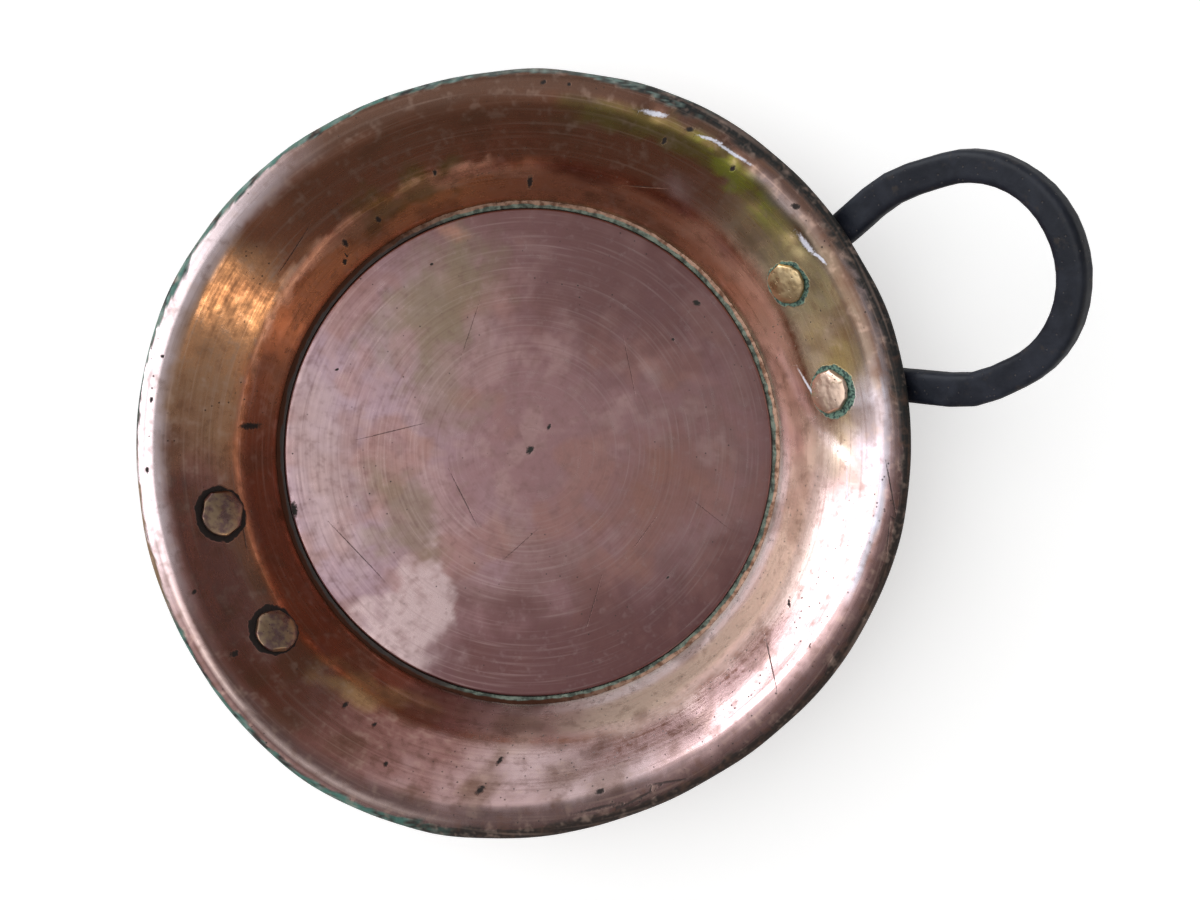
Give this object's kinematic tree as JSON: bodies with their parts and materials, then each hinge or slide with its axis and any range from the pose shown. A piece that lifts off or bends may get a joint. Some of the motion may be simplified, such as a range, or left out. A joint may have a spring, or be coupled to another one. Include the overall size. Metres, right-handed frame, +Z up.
{
  "type": "shallow copper pan",
  "caption": "Shallow round copper pan with a flared wall, a wired rim, an inset bottom disc and a riveted iron loop handle.",
  "frame": {"origin": "on the pan's vertical axis, in the plane that its foot ring stands on", "axes": "+Z up out of the pan's mouth, +X from the axis to the middle of the loop handle, +Y completes a right-handed frame"},
  "size_m": [0.4095, 0.334, 0.1184],
  "materials": {
    "wall_copper": "worn, patinated copper",
    "disc_copper": "rubbed copper with fine circular scratches",
    "rivet_copper": "hammered, worn copper",
    "seam_solder": "dull solder under verdigris",
    "wire_iron": "rusted iron wire",
    "handle_iron": "black forged iron, softly worn"
  },
  "bodies": {
    "root": {"pan_wall": "wall_copper", "bottom_disc": "disc_copper", "bottom_seam": "seam_solder", "rim_wire": "wire_iron", "loop_handle": "handle_iron", "handle_rivet_upper": "rivet_copper", "handle_rivet_lower": "rivet_copper", "handle_stub_upper": "handle_iron", "handle_stub_lower": "handle_iron", "stub_rivet_upper": "rivet_copper", "stub_rivet_lower": "rivet_copper"}
  },
  "joints": []
}
